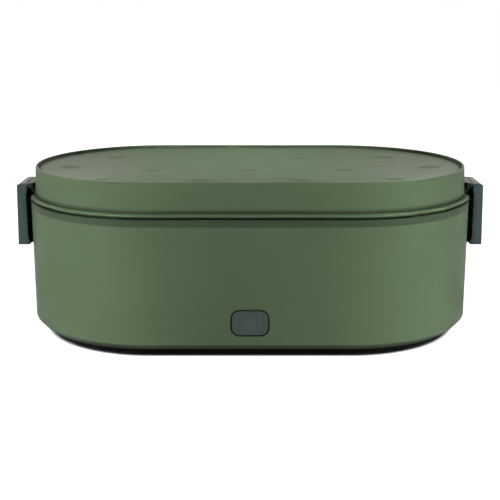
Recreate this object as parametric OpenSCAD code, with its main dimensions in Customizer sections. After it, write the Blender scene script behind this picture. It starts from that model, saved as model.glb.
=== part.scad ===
// Electric lunch box with a lift-off lid, two side latches and a heated pan.
// The plan of every shell is a stadium: a straight middle with half-round ends.
// X runs along the length, the front with its button is at -Y, and Z is up from the feet.

/* [Body] */
// Length over the lid flange
body_length = 237.6; // [200:0.2:290]
// Width over the lid flange
body_width = 136; // [124:1:150]
// Height from the base seam to the collar
body_h = 63.4; // [56:0.1:90]
// Wall thickness of the body shell
body_wall = 2.2; // [1.6:0.1:2.6]
// How far the top of the body wall stands in from the flange edge
wall_inset = 0; // [0:0.1:1.5]
// How much the body wall leans out towards its foot
wall_draft = 0.3; // [0.2:0.1:1.2]
// Width of the bevel above the base
bevel_w = 3; // [1.5:0.1:4]
// Height of the bevel above the base
bevel_h = 3.3; // [1.5:0.1:4]
// How far the lip reaches in over the base cover
lip_reach = 6.8; // [5.6:0.1:8]
// Thickness of that lip
lip_t = 2; // [1.5:0.1:3]

/* [Collar] */
// Height of the glossy collar band
band_h = 3.6; // [3.4:0.1:6]
// How far the band stands proud of the body wall
band_proud = 0.1; // [0:0.1:0.6]
// Bright chamfer along the top edge of the band
band_chamfer = 0.6; // [0.2:0.1:1]
// Width of the collar's top land
land_w = 2.2; // [1.6:0.1:2.4]
// Drop from the land to the ledge that carries the heating pan
ledge_drop = 2.5; // [2.4:0.1:3]
// Width of that ledge
ledge_w = 5.4; // [5:0.1:7]
// Thickness of the ledge
ledge_t = 1.6; // [1.2:0.1:2.4]
// Height of the tongue that plugs into the body
tongue_h = 7; // [4:0.5:12]
// Thickness of the tongue
tongue_t = 1.7; // [1.2:0.1:2.4]

/* [Base] */
// Height of the black base, feet included
base_h = 4.9; // [4:0.1:7]
// How far the base stands in from the flange edge
base_inset = 7.2; // [6:0.1:9]
// Thickness of the base plate
base_t = 2; // [1.6:0.1:2.4]
// How far the feet stand out below the base
foot_stand = 0.8; // [0.5:0.1:1.2]
// Diameter of a foot
foot_d = 12; // [8:0.5:16]
// Depth of the recess that holds a foot
foot_recess = 1.2; // [0.6:0.1:1.4]
// Distance of a foot's middle from the base's edge
foot_inset = 18.8; // [17:0.2:26]
// Distance of the base screws from the base's edge
base_screw_inset = 3.8; // [3.4:0.1:4.4]
// Height of the screw bosses above the lip
base_boss_h = 9; // [7:0.5:14]
// Number of vent slots on each side of the middle
vent_slots = 5; // [3:1:6]
// Width of a vent slot
vent_w = 2.2; // [1.5:0.1:3]
// Length of a vent slot
vent_len = 26; // [16:1:34]

/* [Lid] */
// Gap between the collar and the lid flange
seam_gap = 0.9; // [0.7:0.1:1.4]
// Height of the lid
lid_h = 16.5; // [14:0.1:24]
// Thickness of the lid flange
flange_t = 1.7; // [1:0.1:2.4]
// Width of the flange outside the lid wall
flange_w = 2.6; // [1.4:0.1:2.6]
// Width of the gap in the flange under each latch
notch_w = 33; // [24:0.5:40]
// Wall and top thickness of the lid shell
lid_wall = 2; // [1.6:0.1:2.4]
// How much the lid wall leans in towards its rim
lid_draft = 0.6; // [0.2:0.1:1.2]
// Width of the rim round the recessed top
rim_w = 1.6; // [1.4:0.1:2]
// Drop from the rim to the edge of the recessed top
rim_drop = 1.6; // [1:0.1:2.4]
// Run of the slope inside the rim
rim_slope = 1; // [0.4:0.1:1.6]
// Dish of the recessed top at its middle line
dish = 3; // [1:0.1:3]
// Pitch of the dimples along the lid
dimple_pitch_x = 47; // [40:0.2:52]
// Pitch of the dimple rows across the lid
dimple_pitch_y = 34.2; // [28:0.2:38]
// How far the dimples' middle row stands in front of the lid's middle
dimple_shift = 2.4; // [0:0.2:4]
// Width of a dimple
dimple_d = 12; // [5:0.5:14]
// Depth of a dimple
dimple_depth = 0.7; // [0.3:0.1:1]
// Diameter of the steam hole
steam_hole_d = 1.4; // [1:0.1:3]
// Distance of the steam hole in front of the middle
steam_y = 15.6; // [12:0.2:28]

/* [Lid liner] */
// Thickness of the liner panel
liner_t = 1.4; // [1:0.1:2]
// Height of the panel's underside above the lid flange
liner_rise = 1.8; // [1:0.1:2.1]
// Thickness of the gasket channel's walls
channel_t = 1.2; // [0.9:0.1:1.4]
// Thickness of the lid wall outside the liner
skirt_t = 2.1; // [1.8:0.1:2.4]
// Width of the gasket
gasket_w = 2.8; // [2.2:0.1:3]

/* [Pans] */
// Sheet thickness of the heating pan
heat_pan_t = 0.8; // [0.6:0.1:1.2]
// Gap between the heating pan and the collar's ledge
ledge_gap = 0.7; // [0.4:0.1:1.2]
// Height of the heating pan's underside above the base seam
heat_pan_z = 25.1; // [25:0.1:30]
// Thickness of the seal under its flange
pan_seal_t = 0.5; // [0.3:0.1:0.8]
// Sheet thickness of the food pan
food_pan_t = 0.7; // [0.5:0.1:0.8]
// Gap between the two pans
pan_gap = 0.3; // [0.2:0.05:0.5]
// How much narrower a pan is at its floor
pan_draft = 2; // [1:0.1:3]
// Chamfer between a pan's wall and its floor
pan_chamfer = 5; // [3:0.5:8]

/* [Latches] */
// Width of a latch
latch_w = 21.4; // [16:0.1:26]
// Height of a latch's top above the lid flange
latch_rise = 6.4; // [5.8:0.1:7]
// Height of a latch
latch_h = 33.7; // [29:0.1:44]
// Distance of the top of a latch's face from the flange edge
latch_reach = 7; // [7:0.1:9]
// How much further out the foot of its face stands
latch_lean = 0.9; // [0.2:0.1:1.6]
// Bulge of the latch's face across its width
latch_bulge = 0.4; // [0.2:0.1:1.4]
// Thickness of the latch's top plate
latch_plate = 1.4; // [1.2:0.1:1.6]
// Thickness of the latch's face
latch_t = 2; // [1.6:0.1:2.4]
// Thickness of its cheeks
cheek_t = 1.6; // [1.2:0.1:2]
// Depth of its cheeks at the top
cheek_depth = 5; // [4.6:0.1:5.2]
// Height of the wedge at its foot
toe_h = 4.6; // [3:0.1:6]
// How far the wedge reaches in from the cheeks
toe_in = 1.1; // [0.6:0.1:1.4]
// Radius of the hinge knuckles
knuckle_r = 1.4; // [1.3:0.05:1.5]
// Radius of the hinge pin
pin_r = 0.7; // [0.6:0.05:0.8]
// Distance of the pin from the flange edge, towards the middle
pin_inset = 0.7; // [0.5:0.1:0.8]
// Width of the ear on the lid
ear_w = 14.8; // [10:0.2:15]
// Rounding of the latch's upper corner
latch_round = 3; // [1.5:0.1:3.5]

/* [Button] */
// Width of the opening for the button
button_w = 19.4; // [16:0.1:24]
// Height of the opening for the button
button_h = 13.8; // [12:0.1:16]
// Corner radius of that opening
button_corner = 4.6; // [3:0.1:6]
// Groove round the button
button_groove = 0.7; // [0.4:0.05:0.9]
// Height of the button's middle above the base seam
button_rise = 14.7; // [13:0.1:17]
// How far the button stands proud of the wall
button_proud = 0.2; // [0:0.1:0.8]
// Travel of the button
button_travel = 1; // [0.5:0.1:1.2]
// Wall thickness of the button cap
cap_t = 1.5; // [1:0.1:1.8]

/* [Electrics] */
// Width of the control board
board_w = 42; // [38:1:60]
// Height of the control board
board_h = 20; // [18:0.5:21]
// Thickness of the control board
board_t = 1.6; // [1:0.1:2]
// Space between the front wall and the board
board_space = 5.3; // [5.2:0.1:5.8]
// Side of the switch body
switch_w = 6; // [5:0.1:7]
// Height of the switch body
switch_h = 3.4; // [3:0.1:3.6]
// Spacing of the inlet pins
inlet_pitch = 8.6; // [8.6:0.1:10]
// Diameter of the inlet pins
inlet_pin_d = 2.4; // [2:0.1:2.6]
// Diameter of each half of the inlet's opening
inlet_d = 8.6; // [8:0.1:9]
// Depth of the inlet's socket
inlet_depth = 12.5; // [10:0.5:14]
// Height of the inlet's middle above the base seam
inlet_rise = 11.5; // [11:0.1:14]
// How far the heater plate reaches past the thermostat
heater_end = 2; // [1:0.5:10]
// Length of the heating element
ptc_len = 60; // [52:1:66]
// Width of the heater plate
heater_w = 56; // [50:1:70]
// Thickness of the heater plate
heater_t = 3; // [2:0.1:3.5]
// Thickness of the heating element
ptc_t = 4.5; // [3:0.1:5]
// Diameter of a lead
lead_d = 1.8; // [1.2:0.1:2.2]

/* [Fasteners] */
// Radius of a self-tapping screw's shank
screw_r = 1.4; // [1:0.05:1.6]
// Radius of a screw's head
screw_head_r = 2.7; // [2.4:0.1:3]
// Height of a screw's head
screw_head_h = 1.6; // [1.2:0.1:2]
// Length of a screw's shank in its boss
screw_len = 7; // [4:0.5:8]

/* [Hidden] */

$fn = 96;
// Past a face, so that a cut leaves no skin
cut = 1;
// Running clearance of a pin or a shank, on the radius
fit = 0.05;
// Clearance between parts that seat without touching
seat_gap = 0.3;
// Clearance between parts that plug into each other
plug_gap = 0.1;

// Half-widths, measured from the middle line of the plan
flange_r = body_width / 2;
straight = body_length / 2 - flange_r;
wall_top_r = flange_r - wall_inset;
wall_low_r = wall_top_r + wall_draft;
band_r = wall_top_r + band_proud;
base_r = flange_r - base_inset;
lip_r = base_r - lip_reach;
base_screw_r = base_r - base_screw_inset;
foot_r = base_r - foot_inset;
lid_low_r = flange_r - flange_w;
lid_top_r = lid_low_r - lid_draft;

// Heights
z_seam = base_h;
z_bevel = z_seam + bevel_h;
z_band = z_seam + body_h;
z_rim = z_band + band_h;
z_lid = z_rim + seam_gap;
z_top = z_lid + lid_h;
z_ledge = z_rim - ledge_drop;
z_heat_pan = z_seam + heat_pan_z;
z_button = z_seam + button_rise;
z_inlet = z_seam + inlet_rise;

// The outer half-width of the body wall at a height
function wall_r(z) = wall_low_r - wall_draft * (z - z_bevel) / (z_band - z_bevel);
// A point of the plan at a distance from its middle line, at an angle round one end
function end_point(side_x, side_y, r, angle) =
    [side_x * (straight + r * cos(angle)), side_y * r * sin(angle)];

// Colours
green = "#53624b";
lid_green = "#58694f";
black = "#161816";
latch_grey = "#485854";
steel = "#b9bcbd";
white_rubber = "#d9d9d2";

// A profile carried round the plan: its x is the distance from the middle line, its y the height
module around() {
    for (side = [-1, 1])
        translate([side * straight, 0, 0])
            rotate([0, 0, -90 * side])
                rotate_extrude(angle = 180)
                    children();
    rotate([90, 0, 90])
        translate([0, 0, -straight])
            linear_extrude(2 * straight) {
                children();
                mirror([1, 0])
                    children();
            }
}

// A flat stadium plate of a half-width, between two heights
module plate(r, z0, z1) {
    around()
        translate([0, z0])
            square([r, z1 - z0]);
}

// A rectangle with rounded corners, about its middle
module rounded_rect(w, h, r) {
    square([w - 2 * r, h], center = true);
    square([w, h - 2 * r], center = true);
    for (x = [-1, 1], y = [-1, 1])
        translate([x * (w / 2 - r), y * (h / 2 - r)])
            circle(r);
}

// A 2D shape drawn in X and Z, given depth from one Y to another
module along_y(y0, y1) {
    translate([0, y1, 0])
        rotate([90, 0, 0])
            linear_extrude(y1 - y0)
                children();
}

// A round bar between two heights
module post(x, y, z0, z1, r) {
    translate([x, y, z0])
        cylinder(h = z1 - z0, r = r);
}

// A round bar along Y
module bar_y(x, z, y0, y1, r) {
    translate([x, y1, z])
        rotate([90, 0, 0])
            cylinder(h = y1 - y0, r = r);
}

// A lead: an eight-sided tube along its points, mitred at each bend
lead_sides = 8;

function unit(v) = v / norm(v);
function run_dir(points, i) = unit(points[i + 1] - points[i]);

// The first ring of a tube, square to its first run
function first_ring(p, d) =
    let (side = unit(cross(d, abs(d.z) < 0.9 ? [0, 0, 1] : [1, 0, 0])), up = cross(side, d))
    [for (k = [0 : lead_sides - 1])
        p + lead_d / 2 * (cos(k * 360 / lead_sides) * side + sin(k * 360 / lead_sides) * up)];

// A ring slid along its run onto the plane through the next point
function carried_ring(ring, d, p, n) = [for (q = ring) q + d * ((p - q) * n) / (d * n)];

function later_rings(points, i, ring) =
    i >= len(points) ? [] :
    let (
        d = run_dir(points, i - 1),
        n = i == len(points) - 1 ? d : unit(d + run_dir(points, i)),
        next = carried_ring(ring, d, points[i], n)
    )
    concat(next, later_rings(points, i + 1, next));

module lead(points) {
    start = first_ring(points[0], run_dir(points, 0));
    last = (len(points) - 1) * lead_sides;
    polyhedron(
        points = concat(start, later_rings(points, 1, start)),
        faces = concat(
            [[for (k = [0 : lead_sides - 1]) k]],
            [for (i = [0 : len(points) - 2], k = [0 : lead_sides - 1])
                let (a = i * lead_sides + k, b = i * lead_sides + (k + 1) % lead_sides)
                [a, a + lead_sides, b + lead_sides, b]],
            [[for (k = [lead_sides - 1 : -1 : 0]) last + k]]
        )
    );
}

// Body: the shell, its bevel, its lip, bosses and latch keepers

base_screw_angle = 45;
board_boss_x = 16;
board_boss_r = 3.2;
button_z0 = z_button - button_h / 2;
// The body wall's inner face where the board's bosses and the button's flange sit
front_in_y = -(wall_r(z_button) - body_wall);
board_front_y = front_in_y + board_space;
rear_out_y = wall_r(z_inlet);
rear_in_y = rear_out_y - body_wall;
inlet_screw_x = 15;
inlet_boss_r = 3;
inlet_flange_t = 2;
inlet_boss_h = 3;

module base_screw_places() {
    for (sx = [-1, 1], sy = [-1, 1])
        translate(end_point(sx, sy, base_screw_r, base_screw_angle))
            children();
}

module body_profile() {
    polygon([
        [lip_r, z_seam],
        [wall_low_r - bevel_w, z_seam],
        [wall_low_r, z_bevel],
        [wall_top_r, z_band],
        [wall_top_r - body_wall, z_band],
        [wall_low_r - body_wall, z_bevel + body_wall / 2],
        [wall_low_r - body_wall - bevel_w / 2, z_seam + lip_t],
        [lip_r, z_seam + lip_t]
    ]);
}

module body_shell() {
    color(green)
        difference() {
            union() {
                around()
                    body_profile();
                base_screw_places()
                    translate([0, 0, z_seam + lip_t / 2])
                        cylinder(h = lip_t / 2 + base_boss_h, r = boss_r);
                for (side = [-1, 1])
                    bar_y(side * board_boss_x, z_button, front_in_y - body_wall / 2, board_front_y,
                        board_boss_r);
                for (side = [-1, 1])
                    bar_y(side * inlet_screw_x, z_inlet, rear_in_y - inlet_boss_h,
                        rear_in_y + body_wall / 2, inlet_boss_r);
                for (side = [-1, 1])
                    mirror([side < 0 ? 1 : 0, 0, 0])
                        keeper();
            }
            base_screw_places()
                translate([0, 0, z_seam - cut])
                    cylinder(h = cut + screw_len + plug_gap, r = screw_r);
            for (side = [-1, 1])
                bar_y(side * board_boss_x, z_button, board_front_y - board_screw_len,
                    board_front_y + cut, screw_r);
            for (side = [-1, 1])
                bar_y(side * inlet_screw_x, z_inlet, rear_in_y - inlet_boss_h - cut,
                    rear_in_y + inlet_bite, screw_r);
            translate([0, 0, z_button])
                along_y(-flange_r - cut, front_in_y + cut)
                    rounded_rect(button_w, button_h, button_corner);
            translate([0, 0, z_inlet])
                along_y(rear_in_y - cut, flange_r + cut)
                    rounded_rect(inlet_nose_w + 2 * plug_gap, inlet_nose_h + 2 * plug_gap,
                        inlet_nose_h / 2 + plug_gap - 0.01);
        }
}

boss_r = 3.5;
board_screw_len = 5;
inlet_bite = 0.8;

// Collar: the glossy band, the ledge for the heating pan and the tongue into the body

land_in_r = band_r - land_w;
ledge_in_r = land_in_r - ledge_w;
tongue_r = wall_top_r - body_wall - plug_gap;

module rim_collar() {
    color("#33412f")
        around()
            polygon([
                [band_r, z_band],
                [band_r, z_rim - band_chamfer],
                [band_r - band_chamfer, z_rim],
                [land_in_r, z_rim],
                [land_in_r, z_ledge],
                [ledge_in_r, z_ledge],
                [ledge_in_r, z_ledge - ledge_t],
                [tongue_r - tongue_t, z_ledge - ledge_t],
                [tongue_r - tongue_t, z_band - tongue_h],
                [tongue_r, z_band - tongue_h],
                [tongue_r, z_band]
            ]);
}

// Pans

heat_pan_r = ledge_in_r - ledge_gap;
pan_flange_r = land_in_r - seat_gap;
z_pan_flange = z_ledge + pan_seal_t;
food_pan_r = heat_pan_r - heat_pan_t - pan_gap;
food_flange_r = pan_flange_r - pan_gap;
z_food_flange = z_pan_flange + heat_pan_t + pan_gap;
z_food_pan = z_heat_pan + heat_pan_t + pan_gap;

// A pressed pan: its flange, its leaning wall, a chamfer and a floor of one thickness
module pan(mouth_r, flange_out_r, z_floor, z_flange, t) {
    foot_wall_r = mouth_r - pan_draft;
    inner = t * 0.41;
    around()
        polygon([
            [0, z_floor],
            [foot_wall_r - pan_chamfer, z_floor],
            [foot_wall_r, z_floor + pan_chamfer],
            [mouth_r, z_flange],
            [flange_out_r, z_flange],
            [flange_out_r, z_flange + t],
            [mouth_r - t, z_flange + t],
            [foot_wall_r - t, z_floor + pan_chamfer + inner],
            [foot_wall_r - pan_chamfer - inner, z_floor + t],
            [0, z_floor + t]
        ]);
}

module pan_seal() {
    color(white_rubber)
        around()
            translate([ledge_in_r + seat_gap, z_ledge])
                square([pan_flange_r - ledge_in_r - 2 * seat_gap, pan_seal_t]);
}

module heating_pan() {
    color("#a9abac")
        pan(heat_pan_r, pan_flange_r, z_heat_pan, z_pan_flange, heat_pan_t);
}

module food_pan() {
    color(steel)
        pan(food_pan_r, food_flange_r, z_food_pan, z_food_flange, food_pan_t);
}

// Heater under the heating pan, clamped on two studs

z_heater = z_heat_pan - heater_t;
z_ptc = z_heater - ptc_t;
ptc_w = 26;
clamp_t = 1.2;
clamp_w = 16;
z_clamp = z_ptc - clamp_t;
clamp_gap = 0.2;
stud_r = 2;
// Distance of a stud from the element's end, and of the strap's end from the stud
stud_space = 8;
strap_foot = 7;
stud_x = ptc_len / 2 + stud_space;
// Length of a stud below its nut
stud_end = 1;
ptc_groove_w = 0.8;
ptc_groove_h = 1.2;
nut_h = 3.2;
nut_across = 7;
z_nut = z_heater - clamp_t - nut_h;
// Far end of the strap's feet
clamp_end_x = stud_x + strap_foot;

module heater_plate() {
    color("#c4c6c8")
        difference() {
            translate([0, 0, z_heater])
                linear_extrude(heater_t)
                    rounded_rect(heater_len, heater_w, heater_w / 2 - 0.01);
            for (side = [-1, 1])
                post(side * stud_x, 0, z_heater - cut, z_heat_pan + cut, stud_r + plug_gap);
            for (side = [-1, 1])
                post(thermostat_x, side * thermostat_screw_y, z_heater - cut,
                    z_heater + thermostat_bite, screw_r);
            post(rivet_x, 0, z_heater - cut, z_heater + thermostat_bite, screw_r);
        }
}

module ptc_heater() {
    color("#8f9496")
        difference() {
            translate([-ptc_len / 2, -ptc_w / 2, z_ptc])
                cube([ptc_len, ptc_w, ptc_t]);
            for (side = [-1, 1])
                translate([0, side * (ptc_w / 2 - 2), z_ptc + ptc_t / 2])
                    cube([ptc_len + 2 * cut, ptc_groove_w, ptc_groove_h], center = true);
        }
}

module clamp_studs() {
    color(steel)
        for (side = [-1, 1])
            post(side * stud_x, 0, z_nut - stud_end, z_heat_pan, stud_r);
}

// A spring-steel strap: a bridge under the element and a foot round each stud
module heater_clamp() {
    color("#9a9da0")
        difference() {
            along_y(-clamp_w / 2, clamp_w / 2)
                union() {
                    translate([-ptc_len / 2 - clamp_gap - clamp_t / 2, z_clamp])
                        square([ptc_len + 2 * clamp_gap + clamp_t, clamp_t]);
                    for (side = [-1, 1])
                        mirror([side < 0 ? 1 : 0, 0]) {
                            translate([ptc_len / 2 + clamp_gap, z_clamp])
                                square([clamp_t, z_heater - z_clamp]);
                            translate([ptc_len / 2 + clamp_gap, z_heater - clamp_t])
                                square([clamp_end_x - ptc_len / 2 - clamp_gap, clamp_t]);
                        }
                }
            for (side = [-1, 1])
                post(side * stud_x, 0, z_clamp - cut, z_heater + cut, stud_r + plug_gap);
        }
}

module clamp_nuts() {
    color(steel)
        for (side = [-1, 1])
            translate([side * stud_x, 0, z_nut])
                difference() {
                    cylinder(h = nut_h, d = nut_across / cos(30), $fn = 6);
                    translate([0, 0, -cut])
                        cylinder(h = nut_h + 2 * cut, r = stud_r);
                }
}

// Thermostat disc and thermal fuse on the heater plate

// Space between the strap's end and what stands beside it
clamp_space = 1;
thermostat_r = 8;
thermostat_x = -(clamp_end_x + clamp_space + thermostat_r);
heater_len = 2 * (thermostat_r + heater_end - thermostat_x);
thermostat_h = 5.6;
thermostat_ear_t = 0.8;
thermostat_screw_y = 12;
thermostat_bite = 2;
thermostat_ear_w = 7;
thermostat_tab = 5;
thermostat_tab_x = 3.5;
fuse_r = 2;
fuse_len = 12;
clip_t = 0.8;
clip_w = 6;
clip_rivet_r = 2.4;
clip_rivet_h = 1.2;
// The fuse's middle, and the rivet's, along the heater plate
fuse_x = clamp_end_x + clamp_space + clip_t + fuse_r;
rivet_x = fuse_x + fuse_r + clip_rivet_r + 0.6;
// Flat tabs that the leads are pushed on
tab_t = 0.8;
tab_w = 4;

module thermostat() {
    color("#3b3430")
        difference() {
            union() {
                post(thermostat_x, 0, z_heater - thermostat_h, z_heater - thermostat_ear_t,
                    thermostat_r);
                translate([thermostat_x, 0, z_heater - thermostat_ear_t])
                    linear_extrude(thermostat_ear_t)
                        rounded_rect(2 * thermostat_r, 2 * thermostat_screw_y + thermostat_ear_w,
                            thermostat_ear_w / 2 - 0.1);
                for (side = [-1, 1])
                    translate([
                        thermostat_x + side * thermostat_tab_x - tab_t / 2, -tab_w / 2,
                        z_heater - thermostat_h - thermostat_tab
                    ])
                        cube([tab_t, tab_w, thermostat_tab + tab_t]);
            }
            for (side = [-1, 1])
                post(thermostat_x, side * thermostat_screw_y, z_heater - thermostat_h - cut,
                    z_heater + cut, screw_r);
        }
}

module thermostat_screws() {
    color(steel)
        for (side = [-1, 1])
            translate([thermostat_x, side * thermostat_screw_y, z_heater - thermostat_ear_t]) {
                translate([0, 0, -screw_head_h])
                    cylinder(h = screw_head_h, r = screw_head_r);
                cylinder(h = thermostat_ear_t + thermostat_bite - plug_gap, r = screw_r - fit);
            }
}

module thermal_fuse() {
    color("#c9c2b4")
        bar_y(fuse_x, z_heater - fuse_r, -fuse_len / 2, fuse_len / 2, fuse_r);
}

// The fuse's sheet clip: a hook round the fuse and a foot with its rivet into the heater plate
module fuse_clip() {
    color(steel) {
        along_y(-clip_w / 2, clip_w / 2)
            difference() {
                union() {
                    translate([fuse_x, z_heater - fuse_r])
                        circle(fuse_r + clip_t);
                    translate([fuse_x, z_heater - clip_t])
                        square([rivet_x + clip_rivet_r - fuse_x, clip_t]);
                }
                translate([fuse_x, z_heater - fuse_r])
                    circle(fuse_r);
                translate([fuse_x - 2 * fuse_r, z_heater])
                    square([4 * fuse_r, fuse_r]);
                translate([fuse_x - 2 * fuse_r, z_heater - fuse_r])
                    square([2 * fuse_r, 2 * fuse_r]);
            }
        post(rivet_x, 0, z_heater - clip_t - clip_rivet_h, z_heater - clip_t, clip_rivet_r);
        post(rivet_x, 0, z_heater - clip_t, z_heater + thermostat_bite - plug_gap, screw_r - fit);
    }
}

// Control board behind the button

board_rear_y = board_front_y + board_t;
z_board = z_button - board_h / 2;

module control_board() {
    color("#2f6b45")
        difference() {
            translate([-board_w / 2, board_front_y, z_board])
                cube([board_w, board_t, board_h]);
            for (side = [-1, 1])
                bar_y(side * board_boss_x, z_button, board_front_y - cut, board_rear_y + cut,
                    screw_r + plug_gap);
        }
}

module board_screws() {
    color(steel)
        for (side = [-1, 1]) {
            bar_y(side * board_boss_x, z_button, board_rear_y, board_rear_y + screw_head_h,
                screw_head_r);
            bar_y(side * board_boss_x, z_button, board_front_y - board_screw_len + plug_gap,
                board_rear_y, screw_r - fit);
        }
}

plunger_r = 1.7;
// The cap's outer face and the inner face that pushes the plunger
cap_front_y = -wall_r(z_button) - button_proud;
cap_in_y = cap_front_y + cap_t;
led_x = 5;
led_r = 1.5;
led_h = 2.4;
switch_floor = 0.6;

module tact_switch() {
    color(black)
        difference() {
            translate([-switch_w / 2, board_front_y - switch_h, z_button - switch_w / 2])
                cube([switch_w, switch_h, switch_w]);
            bar_y(0, z_button, board_front_y - switch_h - cut, board_front_y - switch_floor,
                plunger_r + fit);
        }
}

module switch_plunger() {
    color("#b0302a")
        bar_y(0, z_button, cap_in_y, board_front_y - switch_floor - button_travel - seat_gap,
            plunger_r);
}

module button_led() {
    color("#e8efe9") {
        bar_y(led_x, z_button, board_front_y - led_h, board_front_y, led_r);
        translate([led_x, board_front_y - led_h, z_button])
            sphere(led_r);
    }
}

// The cap: a rounded shell that stands in the wall's opening, with a flange behind the wall
module button_cap() {
    cap_w = button_w - 2 * button_groove;
    cap_h = button_h - 2 * button_groove;
    corner = button_corner - button_groove;
    flange_y = front_in_y + seat_gap;
    flange_depth = 1;
    flange_lap = 1.2;
    color(latch_grey)
        translate([0, 0, z_button])
            difference() {
                union() {
                    along_y(cap_front_y, flange_y + flange_depth)
                        rounded_rect(cap_w, cap_h, corner);
                    along_y(flange_y, flange_y + flange_depth)
                        rounded_rect(button_w + 2 * flange_lap, button_h + 2 * flange_lap,
                            button_corner + flange_lap);
                }
                along_y(cap_in_y, flange_y + flange_depth + cut)
                    rounded_rect(cap_w - 2 * cap_t, cap_h - 2 * cap_t, corner - cap_t);
            }
}

// Power inlet: a two-pin socket behind the rear wall

inlet_wall = 1.5;
inlet_nose_w = inlet_pitch + inlet_d + 2 * inlet_wall;
inlet_nose_h = inlet_d + 2 * inlet_wall;
inlet_ear_w = 7;
inlet_back_t = 5;
// Height of the socket between its two round halves
inlet_waist = 6.2;
inlet_rear_y = rear_out_y - inlet_depth - inlet_back_t;
tab_len = 5;
// How far the pins end behind the socket's mouth
pin_short = 2;

module power_inlet() {
    flange_y = rear_in_y - inlet_boss_h;
    color(black)
        translate([0, 0, z_inlet])
            difference() {
                union() {
                    along_y(inlet_rear_y, rear_out_y)
                        rounded_rect(inlet_nose_w, inlet_nose_h, inlet_nose_h / 2 - 0.01);
                    along_y(flange_y - inlet_flange_t, flange_y)
                        rounded_rect(2 * inlet_screw_x + inlet_ear_w, inlet_nose_h, inlet_ear_w / 2 - 0.1);
                }
                for (side = [-1, 1])
                    bar_y(side * inlet_pitch / 2, 0, rear_out_y - inlet_depth, rear_out_y + cut,
                        inlet_d / 2);
                along_y(rear_out_y - inlet_depth, rear_out_y + cut)
                    square([inlet_pitch, inlet_waist], center = true);
                for (side = [-1, 1])
                    bar_y(side * inlet_pitch / 2, 0, inlet_rear_y - cut,
                        rear_out_y - inlet_depth + cut, inlet_pin_d / 2);
                for (side = [-1, 1])
                    bar_y(side * inlet_screw_x, 0, flange_y - inlet_flange_t - cut, flange_y + cut,
                        screw_r + plug_gap);
            }
}

module inlet_pins() {
    color("#c8b878")
        for (side = [-1, 1]) {
            bar_y(side * inlet_pitch / 2, z_inlet, inlet_rear_y, rear_out_y - pin_short,
                inlet_pin_d / 2);
            translate([
                side * inlet_pitch / 2 - tab_t / 2, inlet_rear_y - tab_len, z_inlet - tab_w / 2
            ])
                cube([tab_t, tab_len, tab_w]);
        }
}

module inlet_screws() {
    flange_y = rear_in_y - inlet_boss_h;
    color(steel)
        for (side = [-1, 1]) {
            bar_y(side * inlet_screw_x, z_inlet, flange_y - inlet_flange_t - screw_head_h,
                flange_y - inlet_flange_t, screw_head_r);
            bar_y(side * inlet_screw_x, z_inlet, flange_y - inlet_flange_t,
                rear_in_y + inlet_bite - plug_gap, screw_r - fit);
        }
}

// Leads between the inlet, the thermostat, the heating element, the fuse and the board

tab_y = inlet_rear_y - tab_len;
// Height at which the leads cross the body, and how far they swing out at a bend
z_lead = z_inlet - inlet_nose_h / 2 + lead_d;
lead_bend = 8;
z_thermostat_tab = z_heater - thermostat_h - thermostat_tab;
z_element = z_ptc + ptc_t / 2;
// Straight length of a lead where it meets its tab
lead_end = 4;

module live_lead() {
    x_tab = thermostat_x + thermostat_tab_x;
    color("#8a3324")
        lead([
            [-inlet_pitch / 2, tab_y, z_inlet],
            [-inlet_pitch / 2, tab_y - lead_end, z_inlet],
            [x_tab + lead_bend, heater_w / 2, z_lead],
            [x_tab, lead_end, z_lead],
            [x_tab, 0, z_thermostat_tab - lead_end],
            [x_tab, 0, z_thermostat_tab]
        ]);
}

module neutral_lead() {
    color("#2e4d7a")
        lead([
            [inlet_pitch / 2, tab_y, z_inlet],
            [inlet_pitch / 2, tab_y - lead_end, z_inlet],
            [fuse_x, heater_w / 2, z_lead],
            [fuse_x, fuse_len / 2 + 2 * lead_end, z_heater - 2 * fuse_r],
            [fuse_x, fuse_len / 2 + lead_end, z_heater - fuse_r],
            [fuse_x, fuse_len / 2, z_heater - fuse_r]
        ]);
}

module fuse_lead() {
    x_element = ptc_len / 2 - lead_bend;
    color("#2e4d7a")
        lead([
            [fuse_x, -fuse_len / 2, z_heater - fuse_r],
            [fuse_x, -fuse_len / 2 - lead_end, z_heater - fuse_r],
            [fuse_x - lead_end, -ptc_w / 2 - lead_end, z_element],
            [x_element + lead_end, -ptc_w / 2 - lead_end, z_element],
            [x_element, -ptc_w / 2 - lead_end / 2, z_element],
            [x_element, -ptc_w / 2, z_element]
        ]);
}

module board_lead() {
    x_tab = thermostat_x - thermostat_tab_x;
    x_board = lead_end - board_w / 2;
    color("#8a3324")
        lead([
            [x_tab, 0, z_thermostat_tab],
            [x_tab, 0, z_thermostat_tab - lead_end],
            [x_tab, -lead_end, z_lead],
            [x_board - lead_bend, board_rear_y + 1.5 * lead_bend, z_lead],
            [x_board, board_rear_y + lead_end, z_board + lead_end],
            [x_board, board_rear_y, z_board + lead_end]
        ]);
}

// Base cover, its screws and feet

module foot_place(sx, sy) {
    translate(end_point(sx, sy, foot_r, base_screw_angle))
        children();
}

base_rim_t = 2;
base_post_r = 3.7;
// The first vent slot's distance from the middle, and the pitch of the slots
vent_from = 12;
vent_pitch = 2.4 * vent_w;
head_recess = screw_head_h + 0.4;

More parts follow.
